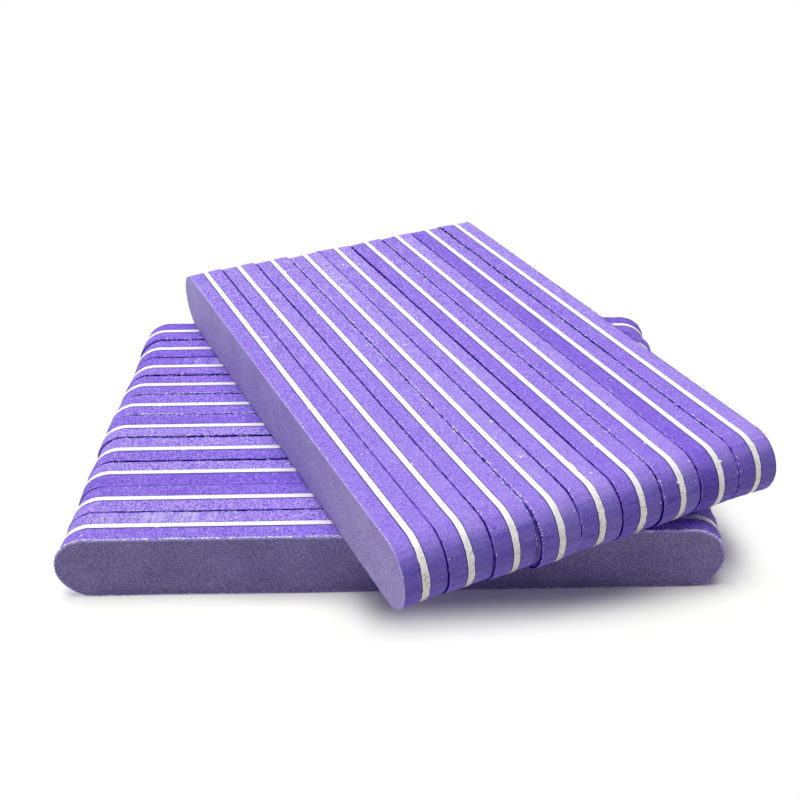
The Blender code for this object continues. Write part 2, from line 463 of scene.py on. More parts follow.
# EVA foam lint, torn by the cutter: pale because so little of it is left to hold the dye
tornLint = {
    "name": "torn_foam_lint",
    "wisps": {"Scale": 15 / 0.010, "Detail": 2},
    "tones": ((0.25, "#D3C7FC"), (0.55, "#FFFFFF")),
    "roughnessRange": {"To Min": 0.7, "To Max": 1.0},
    "height": 0.00005,
}


def wispyMaterial(look):
    # one noise gives its tones, its roughness and its height
    material, tree, shader = startMaterial(look["name"])
    wisps = addNode(tree, "ShaderNodeTexNoise", {"Vector": patternPlace(tree), **look["wisps"]})
    colours = addNode(tree, "ShaderNodeValToRGB", {"Fac": wisps.outputs["Fac"]}, stops=look["tones"])
    roughness = addNode(tree, "ShaderNodeMapRange", {"Value": wisps.outputs["Fac"], **look["roughnessRange"]})
    bump = addNode(tree, "ShaderNodeBump", {"Height": wisps.outputs["Fac"], "Distance": look["height"]})
    setInputs(tree, shader, {"Base Color": colours.outputs["Color"], "Roughness": roughness.outputs[0],
                             "Normal": bump.outputs[0]})
    return material


materials = {
    "foam": dieCutEvaFoam(),
    "fine": coatedGrit(gritFinishes["fine"]),
    "coarse": coatedGrit(gritFinishes["coarse"]),
    "core": dieCutPolystyrene(),
    "glue": wispyMaterial(rolledGlue),
    "lint": wispyMaterial(tornLint),
}
print("materials made:", len(materials))


def nodePoints(name):
    mesh = frame["nodes"][name].data
    points = np.empty(len(mesh.vertices) * 3, np.float32)
    mesh.vertices.foreach_get("co", points)
    return points.reshape(-1, 3).astype(float)


def bufferPlace(body):
    # the frame of one buffer: along it, through it and up, about the middle of its core
    low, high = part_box(f"{body}_core")
    flat = max(frame["nodes"][f"{body}_core"].data.polygons, key=lambda face: face.area)
    through = flat.normal.copy()
    if through.x + through.y < 0:
        through.negate()
    upward = Vector((0, 0, 1))
    along = through.cross(upward).normalized()
    return Matrix((along, through, upward)).transposed(), (low + high) / 2


def layerPlace(name, turn, middle):
    # where a layer starts and ends through the buffer, its length and height, and how far along its middle is
    points = (nodePoints(name) - np.array(middle)) @ np.array(turn)
    low, high = points.min(0), points.max(0)
    return {"low": low[1], "high": high[1], "along": (low[0] + high[0]) / 2,
            "length": high[0] - low[0], "height": high[2] - low[2]}


# A cut leans with its slope. A soft end also flares: it moves along the buffer, by nothing at the core and by
# all of the flare at the outer face. The flare dies out over a length of straight edge, which it only slides.
flareLength = 0.008
straightCut = {"slope": 0, "flare": 0, "end": 1, "inner": 0, "depth": 1, "reach": 0}


def cutShift(cut, along, through):
    # how far along the buffer a point of the cut edge is moved
    depth = np.clip((through - cut["inner"]) / cut["depth"], 0, 1)
    grown = np.clip(1 + (cut["end"] * along - cut["reach"]) / flareLength, 0, 1)
    return cut["slope"] * through + cut["flare"] * depth * grown


def faceReach(body, side):
    # how far along its block the middle of a pad's outer face lies
    turn, middle = bufferPlace(body)
    layer = layerPlace(f"{body}_{side}_pad", turn, middle)
    low, high = layer["low"], layer["high"]
    return middle.dot(turn.col[0]) + 2 * layer["along"] / (low + high) * max(low, high, key=abs)


def endFlares():
    # soft ends lean on each other at a seam, so that only a share of the step between two cuts is left
    flares = {}
    for block, settings in blocks.items():
        first, second = settings["sides"]
        bodies = blockBodies[block]
        for body, after, finish in zip(bodies, bodies[1:], finishes[block]):
            step = faceReach(after, first) - faceReach(body, second)
            closed = (1 - finish["stepLeft"]) * step / 2
            flares[f"{body}_{second}_pad"] = closed
            flares[f"{after}_{first}_pad"] = -closed
    return flares


flares = endFlares()


def ownRandom(name):
    return np.random.default_rng(list(name.encode()))  # the same numbers for a piece in each run


def smooth(share):
    return share * share * (3 - 2 * share)  # from 0 to 1 with a level start and end


def stripOutline(length, height, step):
    # from the right tip over the top to the left tip and back below, so that each top point has one below it
    radius = height / 2
    reach = length / 2 - radius
    arcCount = round(math.pi / 2 * radius / step)
    edgeCount = round(2 * reach / step)
    quarter = np.linspace(0, math.pi / 2, arcCount + 1)
    straight = np.linspace(reach, -reach, edgeCount + 1)[1:-1]
    along = np.concatenate([reach + radius * np.cos(quarter), straight, -reach - radius * np.sin(quarter)])
    up = np.concatenate([radius * np.sin(quarter), np.full(len(straight), radius), radius * np.cos(quarter)])
    along = np.concatenate([along, along[-2:0:-1]])
    up = np.concatenate([up, -up[-2:0:-1]])
    normal = np.stack([along - np.clip(along, -reach, reach), up], 1) / radius
    steps = np.hypot(np.diff(along, append=along[0]), np.diff(up, append=up[0]))
    return {"along": along, "up": up, "normal": normal, "around": np.cumsum(steps) - steps,
            "perimeter": steps.sum(), "turned": np.clip((abs(along) - reach) / radius, 0, 1)}


fewestWaves = 4
sharpAngle = math.radians(50)


def wander(rng, waveLength, perimeter):
    # a smooth random line that closes round the outline, between -1 and 1
    count = max(fewestWaves, round(perimeter / waveLength))
    knots = rng.uniform(-1, 1, count)

    def at(around):
        place = around / perimeter * count
        first = np.floor(place).astype(int)
        share = smooth(place - first)
        return knots[first % count] * (1 - share) + knots[(first + 1) % count] * share

    return at


def shadeRound(mesh):
    mesh.shade_smooth()
    mesh.set_sharp_from_angle(angle=sharpAngle)


def layerMesh(name, outline, sections, cut, values):
    # sections: places through the buffer, lowest first, each with how far it lies inside the outline.
    # values: what each point attribute is at each section. All of these may differ from point to point.
    count = len(outline["along"])
    points = []
    for through, inset in sections:
        along = outline["along"] - outline["normal"][:, 0] * inset + cutShift(cut, outline["along"], through)
        up = outline["up"] - outline["normal"][:, 1] * inset
        points.append(np.stack([along, np.broadcast_to(through, count), up], 1))
    here = np.arange(count)
    after = (here + 1) % count
    last = (len(sections) - 1) * count
    faces = []
    for near in range(0, last, count):
        far = near + count
        faces += np.stack([near + here, far + here, far + after, near + after], 1).tolist()
    for top in range(count // 2):
        corners = list(dict.fromkeys((top, top + 1, count - top - 1, (count - top) % count)))
        faces.append(corners)
        faces.append([last + corner for corner in reversed(corners)])
    mesh = bpy.data.meshes.new(name)
    mesh.from_pydata(np.concatenate(points).tolist(), [], faces)
    for value, rows in values.items():
        layer = mesh.attributes.new(value, "FLOAT", "POINT")
        spread = [np.broadcast_to(row, count) for row in rows]
        layer.data.foreach_set("value", np.concatenate(spread).astype(np.float32))
    shadeRound(mesh)
    return mesh


def addPiece(name, mesh, body, place, material, slot, *replaced):
    turn, middle = place
    piece = bpy.data.objects.new(name, mesh)
    bpy.context.scene.collection.objects.link(piece)
    piece.matrix_world = Matrix.Translation(middle) @ turn.to_4x4()
    mesh.materials.append(material)
    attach(piece, body)
    if replaced:
        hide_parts(*replaced)
    return piece


# The core is stiffer than the foam, so it stands a hair proud, and the cutter drags a lip over its edges
coreStrip = {
    "step": 0.0006,
    "edgeRound": 0.00009,
    "edgeWaveLength": 0.004,
    "edgeWaverShare": 0.5,
    "wornEdge": 0.00008,
    "lip": 0.00007,
    "endLip": 0.00028,
    "lipLength": 0.0011,
    "lipRound": 0.00003,
    "patchLength": 9 * 0.0011,  # the lip hangs in patches
    "patchShare": 0.6,
    "crownShare": 0.4,  # how far towards its faces the top of the strip is flat
    "shadeCreamFrom": 0.55,
}


def makeCore(body, place, layer):
    name = f"{body}_core_strip"
    rng = ownRandom(name)
    outline = stripOutline(layer["length"], layer["height"], coreStrip["step"])
    around, turned, perimeter = outline["around"], outline["turned"], outline["perimeter"]
    lips = []
    size = coreStrip["lip"] + coreStrip["endLip"] * turned
    for side in (-1, 1):
        patches = wander(rng, coreStrip["patchLength"], perimeter)(around)
        teeth = abs(wander(rng, coreStrip["lipLength"], perimeter)(around))
        lips.append(side * size * teeth * np.clip(coreStrip["patchShare"] + patches, 0, 1))
    low, high = layer["low"], layer["high"]
    crown = coreStrip["crownShare"] * low
    waver = coreStrip["edgeWaverShare"] * wander(rng, coreStrip["edgeWaveLength"], perimeter)(around)
    edge = coreStrip["edgeRound"] * (1 + waver) + coreStrip["wornEdge"]
    sections = [(low, edge), (low + lips[0], coreStrip["lipRound"]), (crown, 0),
                (-crown, 0), (high + lips[1], coreStrip["lipRound"]), (high, edge)]
    # where the ends face down, for the painted shade in cream
    below = turned * np.clip(coreStrip["shadeCreamFrom"] - outline["normal"][:, 1], 0, 1)
    values = {"turned": [turned] * len(sections), "below": [below] * len(sections)}
    mesh = layerMesh(name, outline, sections, straightCut, values)
    addPiece(name, mesh, body, place, materials["core"], "white_core", f"{body}_core")


# The soft foam springs back below the core's edge and rounds off towards the seam, more where it stands
# open. Where a seam is closed, the two pads' edges lean over the gap and almost meet.
foamPad = {
    "step": 0.0007,
    "lieBack": 0.00010,
    "ripple": 0.00003,
    "rippleLength": 0.0035,
    "rippleOnTopShare": 0.3,
    "coreRound": 0.00022,
    "closedDrop": 0.00002,
    "openDrop": 0.00027,
    "closedLean": 0.00011,
    "openLean": 0.00010,
    "topLean": 0.00015,
    "closedWidth": 0.0003,
    "openWidth": 0.00048,
    "tuck": 0.0011,  # how far the pad's flat side runs in under the coat
    "waveLength": 0.014,
    "waveShare": 0.4,
    "tearLength": 0.0012,
    "tearShares": (0.1, 0.2),  # in a clean seam, and how much more in a torn one
    "widestShare": 1.4,
    "endBlend": (1.5, -0.3),  # gain and start of the blend from a seam's top into its end
    "shadeFrom": 0.96,  # the upward part of the outline's normal below which painted shade darkens the foam
    "shadeOver": 0.36,
}
# sections near the core: how far from it they lie, and what share of coreRound they lie lower
coreSections = ((0, 1.0), (0.0001, 0.55), (0.00028, 0.15), (0.0006, 0.0))
# sections near the seam: how far from the coat they lie, as a share of the width, and what share they drop by
seamSectionShares = ((1.0, 0.0), (0.62, 0.1), (0.34, 0.32), (0.13, 0.66), (0.0, 1.0))
# how much painted shade darkens the foam where the strips of a block turn down
paintedShadeShares = {"lower": 0.15, "upper": 1.0}
# how strong the foam's grain is at a block's seen end and at its other one
grainShares = {"lower": (0.5, 0.5), "upper": (0.17, 0.53)}
turnedGrainLossShare = 0.4  # how much of it goes round the ends
deepGrainLossShare = 0.33  # and how much a deep, denser foam lacks
# where a pad is scuffed: from and to along the buffer, how much, and how many fibres stand up there
scuffs = (
    ("lower_01_back_pad", -0.082, -0.040, 0.75, 90),
    ("upper_04_right_pad", -0.072, -0.046, 0.4, 20),
    ("lower_08_back_pad", -0.074, -0.050, 0.4, 20),
)
scuffFade = 1.6  # how steeply a scuff ends


def towardsEnd(line, end):
    # a share for each point of the outline, from 0 at the other end to 1 at that one
    return (1 + end * line["along"] / line["along"].max()) / 2


def seamShape(rng, pad, outline):
    # all round: how far the foam drops at its seam, how far its edge leans back, and how open the seam is
    seam, end = pad["seam"], pad["cut"]["end"]
    wave = wander(rng, foamPad["waveLength"], outline["perimeter"])
    tears = wander(rng, foamPad["tearLength"], outline["perimeter"])
    cleanShare, tornShare = foamPad["tearShares"]
    tearShare = cleanShare + tornShare * seam["torn"]
    blendGain, blendStart = foamPad["endBlend"]

    def at(line):
        share = seam["hiddenOpen"] + (seam["seenOpen"] - seam["hiddenOpen"]) * towardsEnd(line, end)
        share += (seam["endOpen"] - share) * np.clip(blendGain * line["turned"] + blendStart, 0, 1)
        share *= 1 + foamPad["waveShare"] * wave(line["around"])
        share = np.clip(share + tearShare * tears(line["around"]), 0, foamPad["widestShare"])
        drop = foamPad["closedDrop"] + foamPad["openDrop"] * share
        openLean = foamPad["openLean"] + foamPad["topLean"] * (1 - line["turned"])
        lean = -foamPad["closedLean"] + (foamPad["closedLean"] + openLean) * share
        return drop, 0 if pad["isOuter"] else lean, np.clip(share, 0, 1)

    return at


def placedThrough(pad, sections, values):
    # turns depths in the pad into places through the buffer, and starts at the lowest of them
    placed = [(pad["inner"] + pad["outward"] * depth, inset) for depth, inset in sections]
    if pad["outward"] < 0:
        placed.reverse()
        values = {value: rows[::-1] for value, rows in values.items()}
    return placed, values


def makeFoam(pad, body, place, core, toneShare):
    name = f"{pad['stem']}_foam"
    rng = ownRandom(name)
    thickness, seam = pad["thickness"], pad["seam"]
    outline = stripOutline(core["length"], core["height"], foamPad["step"])
    around, turned = outline["around"], outline["turned"]
    pad["shape"] = seamShape(rng, pad, outline)
    drop, lean, _ = pad["shape"](outline)
    ripple = wander(rng, foamPad["rippleLength"], outline["perimeter"])(around)
    base = foamPad["lieBack"] + foamPad["ripple"] * ripple * (foamPad["rippleOnTopShare"] + turned)
    openShare = min(max(seam["hiddenOpen"], seam["seenOpen"], seam["endOpen"]), 1)
    width = foamPad["closedWidth"] + (foamPad["openWidth"] - foamPad["closedWidth"]) * openShare
    sections = []
    for depth, roundShare in coreSections:
        sections.append((depth, base + foamPad["coreRound"] * roundShare))
    for depthShare, dropShare in seamSectionShares:
        sections.append((thickness - width * depthShare - lean * dropShare, base + drop * dropShare))
    sections.append((thickness, base + drop + foamPad["tuck"]))

    # painted shade, by how far the outline faces away from up
    down = np.clip((foamPad["shadeFrom"] - outline["normal"][:, 1]) / foamPad["shadeOver"], 0, 1)
    scuffed = 0
    for scuffPad, low, high, share, _ in scuffs:
        if scuffPad == pad["node"]:
            aside = abs(outline["along"] - (low + high) / 2) / (high - low) * 2
            scuffed = share * np.clip(scuffFade - scuffFade * aside, 0, 1) * (outline["up"] > 0)
    seen, unseen = grainShares[pad["block"]]
    grain = unseen + (seen - unseen) * towardsEnd(outline, pad["cut"]["end"])
    grain *= 1 - turnedGrainLossShare * turned
    grain *= 1 + deepGrainLossShare * min(toneShare, 0)
    same = {"around": around, "turned": turned, "grain": grain, "scuffed": scuffed,
            "paintedShade": paintedShadeShares[pad["block"]] * smooth(down)}
    values = {value: [row] * len(sections) for value, row in same.items()}
    values["across"] = [np.clip(depth / thickness, 0, 1) for depth, _ in sections]
    sections, values = placedThrough(pad, sections, values)
    mesh = layerMesh(name, outline, sections, pad["cut"], values)
    foam = addPiece(name, mesh, body, place, materials["foam"], "violet_foam", pad["node"])
    # the foam's material reads which buffer it is on from the colour's red, and its tone from the alpha
    foam.color = (bodyNames.index(body) / len(bodyNames), 1, 1, 0.5 + 0.5 * toneShare)


# The coat follows the foam's edge, a little proud of it, and its rim is torn into fine teeth
gritCoat = {
    "step": 0.00035,
    "thickness": 0.0003,
    "stand": 0.00006,
    "outerStand": 0.00014,
    "standFrom": 0.6,  # how far below the level the outline still counts as top
    "rimHeight": 0.00035,
    "flatWidth": 0.0006,
    "filmEdge": 0.00004,
    "bevels": {"coarse": 0.00032, "fine": 0.00014},
    "bevelWaver": 0.6,
    "bevelLimits": (0.15, 2),
    "bevelFade": 1.6,
    "teeth": 0.00012,
    "outerTeeth": {"coarse": 2.4, "fine": 0.6},
    "sideTeeth": 0.00009,
    "toothLength": 0.0009,
    "tallestTooth": 0.6,
    "frayLengthShare": 0.4,
    "frayShare": 0.7,
    "cleanRaggedShare": 0.35,
    "lipDepth": 0.00010,  # where the rim turns into the seam, and where painted shade starts there
    "darkDepth": 0.00006,
    "rimRound": 0.00004,
    "faceLeanShare": 0.7,
    "closedDark": 0.4,
    "darkGain": 2.5,
    "bevelRimShare": 0.9,  # what is left of the rim's colour on the bevel, and where the flat face starts
    "flatRimShare": 0.8,
    "lipDarkShare": 0.7,  # what part of its painted shade a seam has on the lip, and where the flat face starts
    "flatDarkShare": 0.4,
}
# how much of a seam's painted shade is lost round the ends
endFadeShares = {"lower": 0.6, "upper": 0.0}


def makeGrit(pad, body, place, core):
    name = f"{pad['stem']}_grit"
    rng = ownRandom(name)
    kind, isOuter, thickness = pad["grit"], pad["isOuter"], pad["thickness"]
    outline = stripOutline(core["length"], core["height"], gritCoat["step"])
    around, perimeter = outline["around"], outline["perimeter"]
    drop, lean, openShare = pad["shape"](outline)
    raggedShare = gritCoat["cleanRaggedShare"] + (1 - gritCoat["cleanRaggedShare"]) * pad["seam"]["torn"]
    onTop = np.clip(outline["normal"][:, 1] + gritCoat["standFrom"], 0, 1)
    highest = gritCoat["outerStand"] if isOuter else gritCoat["stand"]
    toothHeight = gritCoat["teeth"] * (gritCoat["outerTeeth"][kind] if isOuter else 1)
    sideTeeth = 0 if isOuter else raggedShare * gritCoat["sideTeeth"]
    rims, frays, leans = [], [], []
    for _ in range(2):
        teeth = wander(rng, gritCoat["toothLength"], perimeter)(around)
        fray = wander(rng, gritCoat["frayLengthShare"] * gritCoat["toothLength"], perimeter)(around)
        frays.append(teeth + gritCoat["frayShare"] * fray)
        stand = highest + raggedShare * toothHeight * np.minimum(frays[-1], gritCoat["tallestTooth"])
        rims.append(np.maximum(foamPad["lieBack"] + drop - onTop * stand, 0.0))
        leans.append(lean + sideTeeth * frays[-1])

    # each section: its depth in the pad, its inset, how much it is rim, and how much painted seam shade it
    # takes
    inside = foamPad["lieBack"] + drop + foamPad["tuck"]
    face = thickness + gritCoat["thickness"]
    if isOuter:
        # on a block's first face the rim is a pale burr with a painted highlight, and on its last face the
        # rim takes the dark seam colour
        darkLastRim = 1 if pad["outward"] > 0 else 0
        bevel = gritCoat["bevels"][kind] * np.clip(1 + gritCoat["bevelWaver"] * frays[1],
                                                   *gritCoat["bevelLimits"])
        rows = [
            (thickness, inside, 1, darkLastRim),
            (thickness - leans[0], rims[0], 1, darkLastRim),
            (thickness + gritCoat["filmEdge"], rims[1], 1, darkLastRim),
            (face, rims[1] + bevel, gritCoat["bevelRimShare"], darkLastRim),
            (face, rims[1] + gritCoat["bevelFade"] * bevel, 0, 0),
            (face, inside, 0, 0),
        ]
    else:
        # painted shade in the seam, deeper where it stands open
        dark = np.clip(gritCoat["closedDark"] + gritCoat["darkGain"] * openShare, 0, 1)
        dark *= 1 - endFadeShares[pad["block"]] * outline["turned"]
        rows = [
            (thickness, inside, 1, 0),
            (thickness - leans[0], rims[0], 1, 0),
            (face - gritCoat["lipDepth"] - leans[1], rims[1], 1, 0),
            (face - gritCoat["darkDepth"] - leans[1], rims[1], 1, gritCoat["lipDarkShare"] * dark),
            (face - leans[1], rims[1] + gritCoat["rimRound"], 1, dark),
            (face - gritCoat["faceLeanShare"] * lean, rims[1] + gritCoat["rimHeight"], 1, dark),
            (face, inside, gritCoat["flatRimShare"], gritCoat["flatDarkShare"] * dark),
            (face, inside + gritCoat["flatWidth"], 0, 0),
        ]
    depths, insets, rim, seamShade = zip(*rows)
    sections, values = placedThrough(pad, zip(depths, insets), {"rim": rim, "seamShade": seamShade})
    mesh = layerMesh(name, outline, sections, pad["cut"], values)
    grit = addPiece(name, mesh, body, place, materials[kind], "violet_foam", pad["node"])
    grit.color = (pad["seam"]["torn"], pad["isBare"], 0, 1)


def makePad(body, block, place, core, side, toneShare, seam, isOuter, gritKind):
    node = f"{body}_{side}_pad"
    layer = layerPlace(node, *place)
    centre = (layer["low"] + layer["high"]) / 2
    outward = 1 if centre > 0 else -1
    inner, outer = sorted((layer["low"], layer["high"]), key=abs)
    # what the pad's foam, coat and lint have to know of each other
    pad = {
        "stem": f"{body}_{side}",
        "node": node,
        "block": block,
        "seam": seam,
        "grit": gritKind,
        "isOuter": isOuter,
        "isBare": isOuter and outward < 0,
        "inner": inner,
        "outward": outward,
        "thickness": abs(outer - outward * gritCoat["thickness"] - inner),
        "radius": core["height"] / 2,
        "cut": {"slope": layer["along"] / centre, "flare": flares.get(node, 0),
                "end": blocks[block]["seenEnd"], "inner": inner, "depth": outer - inner,
                "reach": (core["length"] - core["height"]) / 2},
    }
    makeFoam(pad, body, place, core, toneShare)
    makeGrit(pad, body, place, core)
    return pad


def crumbShape():
    work = bmesh.new()
    bmesh.ops.create_icosphere(work, subdivisions=1, radius=0.5)
    points = np.array([vert.co[:] for vert in work.verts])
    faces = [[vert.index for vert in face.verts] for face in work.faces]
    work.free()
    return points, faces


crumbPoints, crumbFaces = crumbShape()
crumbJagShare = 0.35
crumbReachShare = 0.9  # how much of the quarter turn at an end holds crumbs


def addCrumb(points, faces, rng, spot, size, heading, bend=0.0):
    # a jagged crumb of that size, lying flat at the spot, its length turned by heading from along the buffer
    centre, upward, along = spot
    through = np.array((0.0, 1.0, 0.0))
    shape = crumbPoints * (1 + crumbJagShare * rng.uniform(-1, 1, (len(crumbPoints), 1))) * size
    shape[:, 1] += bend * shape[:, 0] ** 2 / size[0]
    turned = np.stack([shape[:, 0] * math.cos(heading) - shape[:, 1] * math.sin(heading),
                       shape[:, 0] * math.sin(heading) + shape[:, 1] * math.cos(heading), shape[:, 2]], 1)
    first = sum(map(len, points))
    points.append(centre + turned[:, :1] * along + turned[:, 1:2] * through + turned[:, 2:] * upward)
    faces += [[first + corner for corner in face] for face in crumbFaces]


def crumbSpot(pad, aroundPlace, throughPlace, inset):
    # a point of the cut edge, with the directions straight out of it and along it
    radius, reach = pad["radius"], pad["cut"]["reach"]
    if abs(aroundPlace) <= reach:
        along, up, normal = aroundPlace, radius, np.array((0.0, 0.0, 1.0))
    else:
        side = math.copysign(1, aroundPlace)
        angle = min((abs(aroundPlace) - reach) / radius, crumbReachShare * math.pi / 2)
        normal = np.array((side * math.sin(angle), 0.0, math.cos(angle)))
        along, up = side * (reach + radius * math.sin(angle)), radius * math.cos(angle)
    shifted = along + cutShift(pad["cut"], along, throughPlace)
    return np.array((shifted, throughPlace, up)) - normal * inset, normal, np.cross((0.0, 1.0, 0.0), normal)


def addCrumbs(name, points, faces, body, place, material, slot):
    mesh = bpy.data.meshes.new(name)
    mesh.from_pydata(np.concatenate(points).tolist(), [], faces)
    addPiece(name, mesh, body, place, material, slot)


# Torn foam: how many crumbs, their sizes, where they lie through the pad, how far they are raised over the
# foam and how far they stray from lying along the buffer
foamLint = {
    "overrun": 0.003,
    "seam": {
        "count": 260,
        "fewest": 12,
        "sideShares": {-1: 1.4, 1: 0.6},  # on a buffer's first pad and on its second
        "endLength": 0.012,
        "endLossShare": 0.6,  # fewer hold on round the ends
        "length": (0.0002, 0.0007),
        "width": (0.00016, 0.0003),
        "height": 0.00013,
        "above": 0.0002,
        "depths": (0.0, 0.0002, 0.0007),
        "raised": 0.00003,
        "stray": 0.6,
    },
    "bareEdge": {
        "counts": {"coarse": 620, "fine": 50},
        "length": (0.0002, 0.0009),
        "width": (0.0002, 0.0004),
        "heights": {"coarse": 0.00030, "fine": 0.00010},
        "depths": (-0.0002, 0.00018),
        "inset": (0.00006, 0.00016),
        "raisedShare": 0.6,
        "stray": 0.5,
    },
    "pad": {
        "count": 16,
        "length": (0.0001, 0.0004),
        "width": (0.00008, 0.00016),
        "height": 0.0001,
        "depthShares": (0.1, 0.9),
        "raised": 0.00002,
    },
    "scuff": {
        "length": (0.0004, 0.0014),
        "width": 0.00012,
        "height": 0.0001,
        "depthShares": (0.15, 0.85),
        "raised": 0.00002,
        "stray": 0.5,
        "bend": 0.5,
    },
}


def makeLint(body, place, core, pads):
    name = f"{body}_lint"
    rng = ownRandom(name)
    points, faces = [], []
    half = core["length"] / 2 + foamLint["overrun"]
    lieBack = foamPad["lieBack"]

    def lay(pad, where, depth, size, inset, heading, bend=0.0):
        spot = crumbSpot(pad, where, pad["inner"] + pad["outward"] * depth, inset)
        addCrumb(points, faces, rng, spot, np.array(size), heading, bend)

    for pad in pads:
        thickness = pad["thickness"]
        lint = foamLint["seam"]
        tornShare = 0 if pad["isOuter"] else pad["seam"]["torn"]
        count = round(lint["count"] * lint["sideShares"][pad["outward"]] * tornShare ** 2) + lint["fewest"]
        for _ in range(count):
            where = rng.uniform(-half, half)
            if abs(where) > half - lint["endLength"] and rng.random() < lint["endLossShare"]:
                continue
            lay(pad, where, thickness + lint["above"] - rng.triangular(*lint["depths"]),
                (rng.uniform(*lint["length"]), rng.uniform(*lint["width"]), lint["height"]),
                lieBack - lint["raised"], rng.normal(0, lint["stray"]))
        lint = foamLint["bareEdge"]
        height = lint["heights"][pad["grit"]]
        for _ in range(lint["counts"][pad["grit"]] if pad["isBare"] else 0):
            lay(pad, rng.uniform(-half, half), thickness + rng.uniform(*lint["depths"]),
                (rng.uniform(*lint["length"]), rng.uniform(*lint["width"]), height),
                rng.uniform(*lint["inset"]) - lint["raisedShare"] * height, rng.normal(0, lint["stray"]))
        lint = foamLint["pad"]
        for _ in range(lint["count"]):
            lay(pad, rng.uniform(-half, half), rng.uniform(*lint["depthShares"]) * thickness,
                (rng.uniform(*lint["length"]), rng.uniform(*lint["width"]), lint["height"]),
                lieBack - lint["raised"], rng.uniform(0, math.pi))
    # short pale fibres stand up across a scuffed patch
    lint = foamLint["scuff"]
    for scuffPad, low, high, _, count in scuffs:
        for pad in pads:
            for _ in range(count if pad["node"] == scuffPad else 0):
                lay(pad, rng.uniform(low, high), rng.uniform(*lint["depthShares"]) * pad["thickness"],
                    (rng.uniform(*lint["length"]), lint["width"], lint["height"]), lieBack - lint["raised"],
                    rng.normal(math.pi / 2, lint["stray"]), rng.uniform(-lint["bend"], lint["bend"]))
    addCrumbs(name, points, faces, body, place, materials["lint"], "violet_foam")


# Slivers of core plastic that the cutter left lying: where along and through the buffer, length, width and
# heading, in millimetres and degrees
slivers = {
    "upper_01": ((-26.8, 2.7, 2.6, 0.5, 68), (17.8, -0.9, 0.8, 0.5, 10)),
    "upper_02": ((-38.0, -1.2, 0.9, 0.5, -20), (55.0, 1.1, 1.0, 0.4, 15)),
    "upper_03": ((-35.5, -1.2, 1.2, 0.7, 35), (-70.0, 1.0, 1.3, 0.5, -10)),
    "upper_04": ((-45.5, -5.2, 1.2, 0.5, -25), (-5.0, 2.7, 1.1, 0.5, 75), (63.0, 3.2, 1.4, 0.6, 5),
                 (45.0, 4.8, 1.2, 0.7, 40)),
    "upper_05": ((-67.0, -3.1, 1.3, 0.8, 50), (-79.0, -2.7, 0.9, 0.4, 5), (38.3, 0.9, 1.0, 0.4, 0),
                 (72.5, 1.0, 5.0, 0.25, 2), (77.5, 3.2, 1.2, 0.4, 60)),
    "upper_06": ((67.4, -0.9, 2.4, 0.25, -30), (-61.0, 0.9, 1.2, 0.4, 20)),
    "upper_07": ((29.0, -4.9, 1.2, 0.3, 10), (72.5, -1.2, 1.6, 0.3, -30), (88.0, -1.0, 1.2, 0.5, 50)),
    "upper_08": ((41.5, -2.6, 1.0, 0.3, 70), (86.0, 1.2, 1.1, 0.5, 30)),
    "upper_09": ((-15.3, 3.8, 0.9, 0.3, -15),),
    "lower_01": ((-62.0, -1.0, 1.0, 0.3, 15), (-30.0, -2.4, 0.9, 0.4, 60)),
    "lower_03": ((-55.0, 0.9, 0.9, 0.4, 0),),
    "lower_04": ((-61.0, -1.0, 1.0, 0.4, 10),),
    "lower_06": ((-72.0, -1.0, 1.2, 0.5, 20), (-50.0, 3.0, 0.9, 0.3, 40)),
    "lower_08": ((-64.0, 1.0, 0.9, 0.4, 0),),
}
millimetre = 0.001
sliverForm = {"height": 0.00012, "raised": 0.00005, "bend": 0.6}


def makeSlivers(body, place, pads):
    name = f"{body}_slivers"
    rng = ownRandom(name)
    points, faces = [], []
    for along, through, length, width, heading in slivers[body]:
        pad = pads[0] if through < 0 else pads[1]
        spot = crumbSpot(pad, along * millimetre, through * millimetre,
                         foamPad["lieBack"] - sliverForm["raised"])
        size = np.array((length * millimetre, width * millimetre, sliverForm["height"]))
        bend = rng.uniform(-sliverForm["bend"], sliverForm["bend"])
        addCrumb(points, faces, rng, spot, size, math.radians(heading), bend)
    addCrumbs(name, points, faces, body, place, materials["core"], "white_core")


# The two films of glue beside the core fill the bond lines and stop short of the cut edge
glueInset = 0.00026


def makeGlue(body, place, core, pads):
    name = f"{body}_glue"
    outline = stripOutline(core["length"], core["height"], foamPad["step"])
    work = bmesh.new()
    for pad, coreFace in zip(pads, (core["low"], core["high"])):
        sections = [(through, glueInset) for through in sorted((pad["inner"], coreFace))]
        film = layerMesh(name, outline, sections, pad["cut"], {})
        work.from_mesh(film)
        bpy.data.meshes.remove(film)
    mesh = bpy.data.meshes.new(name)
    work.to_mesh(mesh)
    work.free()
    shadeRound(mesh)
    addPiece(name, mesh, body, place, materials["glue"], "violet_foam")


for block, settings in blocks.items():
    rows = finishes[block]
    for number, (body, finish) in enumerate(zip(blockBodies[block], rows)):
        place = bufferPlace(body)
        core = layerPlace(f"{body}_core", *place)
        makeCore(body, place, core)
        tones = (finish["firstTone"], finish["secondTone"])
        seams = (rows[number - 1] if number else outerSeam, finish)
        outerFaces = (number == 0, number == len(rows) - 1)
        padFacts = zip(settings["sides"], tones, seams, outerFaces, settings["grits"])
        pads = [makePad(body, block, place, core, *facts) for facts in padFacts]
        makeGlue(body, place, core, pads)
        makeLint(body, place, core, pads)
        if body in slivers:
            makeSlivers(body, place, pads)
print("buffers made:", len(bodyNames))

